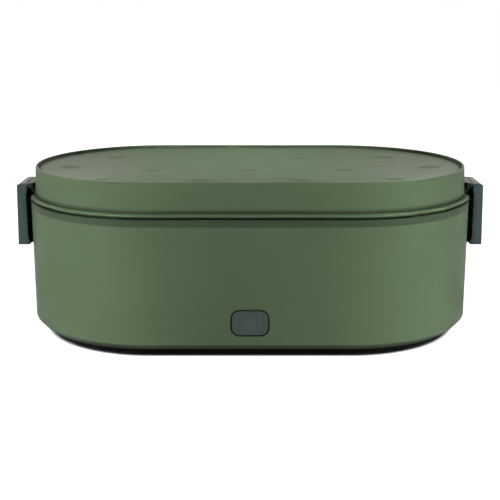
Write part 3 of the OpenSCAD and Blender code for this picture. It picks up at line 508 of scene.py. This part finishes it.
class LUNCHBOX_finish(bpy.types.PropertyGroup):
    body_colour: FloatVectorProperty(
        name="Body", description="Colour of the body shell", subtype="COLOR",
        default=BODY_GREEN, min=0.0, max=1.0,
    )
    lid_colour: FloatVectorProperty(
        name="Lid", description="Colour of the lid", subtype="COLOR",
        default=LID_GREEN, min=0.0, max=1.0,
    )
    collar_colour: FloatVectorProperty(
        name="Collar", description="Colour of the collar band", subtype="COLOR",
        default=COLLAR_GREEN, min=0.0, max=1.0,
    )
    gloss: FloatProperty(
        name="Roughness", description="Roughness of the green plastic",
        default=0.38, min=0.1, max=0.9, subtype="FACTOR",
    )


class LUNCHBOX_symbol(bpy.types.PropertyGroup):
    ring: FloatProperty(
        name="Ring", description="Diameter of the power symbol's ring",
        default=4.4 * MM, min=2 * MM, max=8 * MM, unit="LENGTH", precision=4,
    )
    line: FloatProperty(
        name="Line", description="Width of the symbol's line",
        default=0.42 * MM, min=0.2 * MM, max=1 * MM, unit="LENGTH", precision=4,
    )
    steps: IntProperty(
        name="Steps", description="Segments of the ring", default=56, min=16, max=128,
    )


class LUNCHBOX_screws(bpy.types.PropertyGroup):
    recess: FloatProperty(
        name="Recess", description="Length of a screw's cross recess",
        default=2.8 * MM, min=1 * MM, max=4 * MM, unit="LENGTH", precision=4,
    )
    blade: FloatProperty(
        name="Slot", description="Width of the recess's slots",
        default=0.6 * MM, min=0.3 * MM, max=1 * MM, unit="LENGTH", precision=4,
    )


class LUNCHBOX_parts(bpy.types.PropertyGroup):
    relay: FloatProperty(
        name="Relay", description="Width of the board's relay",
        default=8.5 * MM, min=5 * MM, max=10 * MM, unit="LENGTH", precision=4,
    )
    capacitor: FloatProperty(
        name="Capacitor", description="Radius of the board's capacitor",
        default=2.0 * MM, min=1 * MM, max=2.4 * MM, unit="LENGTH", precision=4,
    )


class LUNCHBOX_studio(bpy.types.PropertyGroup):
    side_power: FloatProperty(
        name="Side panels", description="Power of each side panel lamp",
        default=0.4, min=0.0, max=100.0,
    )
    corner_power: FloatProperty(
        name="Corner panels", description="Power of each panel between the side and the front",
        default=4.85, min=0.0, max=100.0,
    )
    end_power: FloatProperty(
        name="End strips", description="Power of each narrow strip aimed at an end",
        default=0.09, min=0.0, max=100.0,
    )
    back_power: FloatProperty(
        name="Back panels", description="Power of each panel behind the sides",
        default=3.1, min=0.0, max=100.0,
    )
    rear_power: FloatProperty(
        name="Rear panels", description="Power of each low panel that fills the rear wall",
        default=1.45, min=0.0, max=100.0,
    )
    top_power: FloatProperty(
        name="Top panel", description="Power of the lamp above", default=0.05, min=0.0, max=100.0,
    )
    ambient: FloatProperty(
        name="Surround", description="Strength of the surround's own light",
        default=0.04, min=0.0, max=1.0,
    )


# Operators


class LUNCHBOX_OT_body(bpy.types.Operator):
    """Finish of the body shell, with painted shade in its creases and gaps"""

    bl_idname = "lunchbox.body"
    bl_label = "Body shell"

    def execute(self, context):
        look = context.scene.lunchbox_finish
        dress(
            moulded(
                "green_body_plastic", tuple(look.body_colour), look.gloss, specular=0.05,
                crease_shade_reach=8 * MM,
            ),
            "body_green", "body_shell",
        )
        return {"FINISHED"}


class LUNCHBOX_OT_collar(bpy.types.Operator):
    """Finish of the glossy collar band, with painted shade in its creases and gaps"""

    bl_idname = "lunchbox.collar"
    bl_label = "Collar"

    def execute(self, context):
        look = context.scene.lunchbox_finish
        dress(
            moulded(
                "collar_gloss_plastic", tuple(look.collar_colour), 0.34, 0.03, grain=0.004 * MM,
                edge=0.2 * MM, specular=0.05, crease_shade_reach=2 * MM,
            ),
            "collar_gloss", "rim_collar",
        )
        return {"FINISHED"}


class LUNCHBOX_OT_lid(bpy.types.Operator):
    """Finish of the lid shell, with painted shade in its creases and a painted shadow on the
    slope inside its rim
    """

    bl_idname = "lunchbox.lid"
    bl_label = "Lid"

    def execute(self, context):
        look = context.scene.lunchbox_finish
        dress(
            moulded(
                "green_lid_plastic", tuple(look.lid_colour), look.gloss, vary=0.02,
                spread=0.02, specular=0.035, crease_shade_reach=2.5 * MM, shadow=rim_shadow,
            ),
            "lid_green", "lid_shell",
        )
        return {"FINISHED"}


class LUNCHBOX_OT_liner(bpy.types.Operator):
    """Finish of the liner, gasket and steam valve inside the lid, and of the pan's seal"""

    bl_idname = "lunchbox.liner"
    bl_label = "Lid liner"

    def execute(self, context):
        dress(
            moulded("liner_off_white", LINER_WHITE, 0.45, vary=0.02),
            "liner_plastic", "lid_liner",
        )
        dress(
            rubber("white_silicone", SILICONE_WHITE),
            "silicone", "lid_gasket", "steam_valve", "pan_seal",
        )
        return {"FINISHED"}


class LUNCHBOX_OT_latches(bpy.types.Operator):
    """Finish of both side latches and their pins, with painted shade where they close over the
    body
    """

    bl_idname = "lunchbox.latches"
    bl_label = "Side latches"

    def execute(self, context):
        dress(latch_plastic("latch_satin_grey"), "latch_grey", "left_latch", "right_latch")
        # Painted shade: the pins' steel is a fifth as bright, and darker still in gaps, for the
        # shaded hollow of the latch they sit in.
        dress(
            metal("pin_steel", shade(STEEL, 0.2), 0.4, brush=(1.0, 0.1, 1.0), crease_shade_reach=6 * MM),
            "screw_steel", "left_latch_pin", "right_latch_pin",
        )
        return {"FINISHED"}


def symbol_mesh(settings, centre):
    """A ring open at the foot and a bar in the gap, as one thin inlay."""
    made = bmesh.new()
    half = settings.line / 2
    radius = settings.ring / 2
    front, back = centre.y - PROUD, centre.y + INLAY

    def strip(points):
        rows = []
        for inner, outer in points:
            rows.append([
                made.verts.new((x, y, z))
                for (x, z) in (inner, outer) for y in (front, back)
            ])
        for a, b in zip(rows, rows[1:]):
            made.faces.new((a[0], b[0], b[2], a[2]))
            made.faces.new((a[1], a[3], b[3], b[1]))
            made.faces.new((a[0], a[1], b[1], b[0]))
            made.faces.new((a[2], b[2], b[3], a[3]))
        for row in (rows[0], rows[-1]):
            made.faces.new((row[0], row[2], row[3], row[1]))

    arc = []
    for i in range(settings.steps + 1):
        a = math.radians(SYMBOL_GAP - 90 + (360 - 2 * SYMBOL_GAP) * i / settings.steps)
        arc.append(tuple(
            (centre.x + r * math.cos(a), centre.z + r * math.sin(a))
            for r in (radius - half, radius + half)
        ))
    strip(arc)
    strip([
        ((centre.x - half, centre.z + z), (centre.x + half, centre.z + z))
        for z in (share * radius for share in SYMBOL_BAR)
    ])
    bmesh.ops.recalc_face_normals(made, faces=made.faces)
    return as_mesh(made, "power_symbol")


class LUNCHBOX_OT_button(bpy.types.Operator):
    """Finish of the button cap, with the power symbol on it as a pale inlay whose paleness is a
    painted highlight
    """

    bl_idname = "lunchbox.button"
    bl_label = "Button"

    def execute(self, context):
        dress(
            moulded(
                "button_satin_grey", BUTTON_GREY, 0.42, grain=0.008 * MM, edge=0.4 * MM,
                specular=0.12,
            ),
            "button_grey", "button_cap",
        )
        low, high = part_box("button_cap")
        front = Vector(((low.x + high.x) / 2, low.y, (low.z + high.z) / 2))
        # The symbol is real; its pale colour is a painted highlight for the lit edges of its
        # engraving.
        piece(
            "power_symbol", symbol_mesh(context.scene.lunchbox_symbol, front),
            moulded(
                "symbol_pale_ink", SYMBOL_HIGHLIGHT, 0.5, vary=0.03, grain=0, edge=0, specular=0.1
            ),
            "button",
        )
        return {"FINISHED"}


class LUNCHBOX_OT_base(bpy.types.Operator):
    """Finish of the base cover, its screws and feet"""

    bl_idname = "lunchbox.base"
    bl_label = "Base"

    def execute(self, context):
        dress(
            moulded(
                "base_black_plastic", BASE_BLACK, 0.5, grain=0.02 * MM, grain_scale=1200,
                specular=0.02,
            ),
            "black_plastic", "base_cover",
        )
        dress(
            rubber("foot_black_rubber", FOOT_BLACK), "foot_rubber",
            "front_left_foot", "front_right_foot", "rear_left_foot", "rear_right_foot",
        )
        dress(
            metal("screw_zinc", ZINC, 0.35), "screw_steel",
            "base_screws", "board_screws", "inlet_screws", "thermostat_screws", "clamp_nuts",
            "clamp_studs",
        )
        return {"FINISHED"}


class LUNCHBOX_OT_recesses(bpy.types.Operator):
    """Cross recesses in the heads of the screws, as dark inlays of painted shade"""

    bl_idname = "lunchbox.recesses"
    bl_label = "Screw recesses"

    def execute(self, context):
        look = context.scene.lunchbox_screws
        # Painted shade: the recesses are a flat dark inlay standing for the shade inside them.
        dark = metal("recess_dark_steel", RECESS_SHADE_STEEL, 0.5, edge=0)
        for node, axis, outward in (
            ("base_screws", 2, -1), ("thermostat_screws", 2, -1), ("board_screws", 1, 1),
            ("inlet_screws", 1, -1),
        ):
            cross_marks(node, axis, outward, look.recess, look.blade, dark, "body")
        return {"FINISHED"}


class LUNCHBOX_OT_pans(bpy.types.Operator):
    """Finish of the food pan and the heating pan"""

    bl_idname = "lunchbox.pans"
    bl_label = "Pans"

    def execute(self, context):
        dress(
            metal("food_pan_steel", STEEL, 0.26, brush=(0.03, 1.0, 1.0), scale=1500),
            "food_steel", "food_pan",
        )
        dress(
            metal("heating_pan_aluminium", ALUMINIUM, 0.36, scale=260),
            "pan_aluminium", "heating_pan",
        )
        return {"FINISHED"}


class LUNCHBOX_OT_heater(bpy.types.Operator):
    """Finish of the heater, its clamp, thermostat and fuse"""

    bl_idname = "lunchbox.heater"
    bl_label = "Heater"

    def execute(self, context):
        dress(
            metal("heater_aluminium", shade(ALUMINIUM, 0.95), 0.4, brush=(0.05, 1.0, 1.0)),
            "pan_aluminium", "heater_plate", "ptc_heater",
        )
        dress(
            metal("spring_steel", SPRING_STEEL, 0.3, brush=(0.1, 1.0, 1.0)),
            "sheet_steel", "heater_clamp", "fuse_clip",
        )
        dress(
            moulded("thermostat_black", THERMOSTAT_BLACK, 0.45), "black_plastic", "thermostat"
        )
        dress(moulded("fuse_pale_sleeve", FUSE_SLEEVE, 0.5), "fuse_ceramic", "thermal_fuse")
        return {"FINISHED"}


class LUNCHBOX_OT_board(bpy.types.Operator):
    """Finish of the control board, its switch, lamp and the leads"""

    bl_idname = "lunchbox.board"
    bl_label = "Control board and leads"

    def execute(self, context):
        dress(board_lacquer("board_green_lacquer"), "board_green", "control_board")
        dress(moulded("switch_black", SWITCH_BLACK, 0.4), "black_plastic", "tact_switch")
        dress(moulded("plunger_red", PLUNGER_RED, 0.4), "plunger_red", "switch_plunger")
        dress(light_resin("lamp_milky_resin"), "led_white", "button_led")
        dress(
            rubber("lead_brown_sleeve", LEAD_BROWN, 0.5), "lead_brown",
            "live_lead", "board_lead",
        )
        dress(
            rubber("lead_blue_sleeve", LEAD_BLUE, 0.5), "lead_blue",
            "neutral_lead", "fuse_lead",
        )
        return {"FINISHED"}


class LUNCHBOX_OT_parts(bpy.types.Operator):
    """Relay, chip, resistors, capacitor and solder on the rear of the board"""

    bl_idname = "lunchbox.parts"
    bl_label = "Board parts"

    def execute(self, context):
        look = context.scene.lunchbox_parts
        low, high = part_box("control_board")
        x, y, z = (low.x + high.x) / 2, high.y, low.z

        def boxes(name, places, material):
            made = bmesh.new()
            for at_x, at_z, width, height, depth in places:
                half = width / 2 * MM
                add_box(
                    made, (x + at_x * MM - half, y - INLAY, z + at_z * MM),
                    (x + at_x * MM + half, y + depth * MM, z + (at_z + height) * MM),
                )
            piece(name, as_mesh(made, name), material, "body")

        def rods(name, places, radius, length, steps, material):
            made = bmesh.new()
            for at_x, at_z in places:
                foot = (x + at_x * MM, y - INLAY, z + at_z * MM)
                add_rod(made, foot, radius, length * MM, (0, 1, 0), steps)
            piece(name, as_mesh(made, name), material, "body")

        boxes(
            "board_relay", [(*RELAY_PLACE, look.relay / MM, RELAY_HEIGHT, RELAY_DEPTH)],
            moulded("relay_blue", RELAY_BLUE, 0.35, edge=0.2 * MM),
        )
        boxes("board_chip", [CHIP], moulded("chip_black", CHIP_BLACK, 0.5, edge=0.1 * MM))
        boxes(
            "board_resistors", RESISTORS,
            moulded("resistor_black", RESISTOR_BLACK, 0.4, edge=0),
        )
        rods(
            "board_capacitor", [CAPACITOR_PLACE], look.capacitor, CAPACITOR_LENGTH, 32,
            metal("capacitor_can", CAPACITOR_CAN, 0.3),
        )
        rods(
            "board_solder", SOLDER_POINTS, SOLDER_RADIUS * MM, SOLDER_LENGTH, 20,
            metal("solder_tin", TIN, 0.35, edge=0),
        )
        return {"FINISHED"}


class LUNCHBOX_OT_inlet(bpy.types.Operator):
    """Finish of the power inlet and its pins"""

    bl_idname = "lunchbox.inlet"
    bl_label = "Power inlet"

    def execute(self, context):
        dress(
            moulded("inlet_black_plastic", INLET_BLACK, 0.42), "black_plastic", "power_inlet"
        )
        dress(
            metal("pin_brass_plate", BRASS, 0.22, brush=(1.0, 0.1, 1.0)), "pin_brass",
            "inlet_pins",
        )
        return {"FINISHED"}


def panel(name, size, power, place, aim, spread=180, mirrored=False):
    """A soft panel lamp; only a mirrored one, a little warm, shows in glossy faces."""
    data = bpy.data.lights.new(name, "AREA")
    data.energy, data.spread = power, math.radians(spread)
    data.shape = "RECTANGLE"
    data.size, data.size_y = size
    made = bpy.data.objects.new(name, data)
    made.location = place
    made.rotation_euler = (Vector(aim) - Vector(place)).to_track_quat("-Z", "Y").to_euler()
    made.visible_glossy = mirrored
    if mirrored:
        data.color = WARM_WHITE
    bpy.context.scene.collection.objects.link(made)


def seen_rays(t):
    """1 for camera rays, which see the white surround, and less in glossy faces."""
    rays = t.node("ShaderNodeLightPath").outputs
    turned = t.math("MAXIMUM", rays["Is Glossy Ray"], rays["Is Transmission Ray"])
    return t.math(
        "MAXIMUM", rays["Is Camera Ray"], t.math("MULTIPLY", turned, MIRRORED_SURROUND)
    )


class LUNCHBOX_OT_stage(bpy.types.Operator):
    """Pale floor with a painted contact shadow, white surround, soft panels and the camera"""

    bl_idname = "lunchbox.stage"
    bl_label = "Studio and camera"

    def execute(self, context):
        scene = context.scene
        studio = scene.lunchbox_studio
        scene.view_settings.view_transform = "Standard"

        world = bpy.data.worlds.new("white_surround")
        scene.world = world
        t = Tree(world)
        strength = t.between(seen_rays(t), studio.ambient, 1.0, 0.0, 1.0)
        shader = t.node(
            "ShaderNodeBackground", {"Color": WHITE, "Strength": strength}
        ).outputs[0]
        out = t.node("ShaderNodeOutputWorld")
        t.tree.links.new(shader, out.inputs["Surface"])

        made = bmesh.new()
        bmesh.ops.create_circle(made, cap_ends=True, segments=96, radius=FLOOR_RADIUS)
        floor = bpy.data.objects.new("floor", as_mesh(made, "floor"))
        scene.collection.objects.link(floor)
        material = bpy.data.materials.new("pale_floor")
        t = Tree(material)
        paper = t.mix(t.noise(t.place(), 6, 3.0), *FLOOR_TINTS)
        # Painted contact shadow: near the box the floor's colour darkens and its white glow dims.
        contact_shade = t.open_air(CONTACT_SHADOW_REACH, 3.0)
        paper = t.mix(contact_shade, FLOOR_CONTACT_SHADOW, paper)
        diffuse = t.node("ShaderNodeBsdfDiffuse", {"Color": paper}).outputs[0]
        glow = t.node(
            "ShaderNodeEmission",
            {
                "Color": WHITE,
                "Strength": t.math("MULTIPLY", seen_rays(t), contact_shade),
            },
        ).outputs[0]
        both = t.node("ShaderNodeAddShader")
        t.tree.links.new(diffuse, both.inputs[0])
        t.tree.links.new(glow, both.inputs[1])
        t.surface(both.outputs[0])
        floor.data.materials.append(material)

        for side in (-1, 1):
            for name, place, aim, size, spread, mirrored in SIDE_LAMPS:
                panel(
                    "panel_" + name, size, getattr(studio, name + "_power"),
                    (side * place[0], *place[1:]), (side * aim[0], *aim[1:]), spread, mirrored,
                )
        panel("panel_top", TOP_LAMP_SIZE, studio.top_power, TOP_LAMP, BOX_MIDDLE)

        lens = bpy.data.cameras.new("camera")
        lens.lens = CAMERA_LENS
        lens.sensor_width = CAMERA_SENSOR
        lens.clip_start, lens.clip_end = CAMERA_NEAR, CAMERA_FAR
        camera = bpy.data.objects.new("camera", lens)
        camera.location = CAMERA_PLACE
        camera.rotation_euler = (math.radians(CAMERA_TILT), 0.0, 0.0)
        scene.collection.objects.link(camera)
        scene.camera = camera
        return {"FINISHED"}


OPERATORS = (
    LUNCHBOX_OT_body,
    LUNCHBOX_OT_collar,
    LUNCHBOX_OT_lid,
    LUNCHBOX_OT_liner,
    LUNCHBOX_OT_latches,
    LUNCHBOX_OT_button,
    LUNCHBOX_OT_base,
    LUNCHBOX_OT_recesses,
    LUNCHBOX_OT_pans,
    LUNCHBOX_OT_heater,
    LUNCHBOX_OT_board,
    LUNCHBOX_OT_parts,
    LUNCHBOX_OT_inlet,
    LUNCHBOX_OT_stage,
)


GROUPS = {
    "lunchbox_finish": LUNCHBOX_finish,
    "lunchbox_symbol": LUNCHBOX_symbol,
    "lunchbox_screws": LUNCHBOX_screws,
    "lunchbox_parts": LUNCHBOX_parts,
    "lunchbox_studio": LUNCHBOX_studio,
}


class LUNCHBOX_PT_panel(bpy.types.Panel):
    """Pieces and finishes of the lunch box"""

    bl_idname = "LUNCHBOX_PT_panel"
    bl_label = "Lunch Box"
    bl_space_type = "VIEW_3D"
    bl_region_type = "UI"
    bl_category = "Lunch Box"

    def draw(self, context):
        for group in GROUPS:
            settings = getattr(context.scene, group)
            box = self.layout.box()
            for key in settings.bl_rna.properties.keys():
                if key not in ("rna_type", "name"):
                    box.prop(settings, key)
        for operator in OPERATORS:
            self.layout.operator(operator.bl_idname)


CLASSES = (*GROUPS.values(), *OPERATORS, LUNCHBOX_PT_panel)


def register():
    for cls in CLASSES:
        bpy.utils.register_class(cls)
    for name, group in GROUPS.items():
        setattr(bpy.types.Scene, name, PointerProperty(type=group))


def unregister():
    for name in GROUPS:
        delattr(bpy.types.Scene, name)
    for cls in reversed(CLASSES):
        bpy.utils.unregister_class(cls)


def main():
    register()
    for operator in OPERATORS:
        group, name = operator.bl_idname.split(".")
        getattr(getattr(bpy.ops, group), name)()


if __name__ == "__main__":
    main()
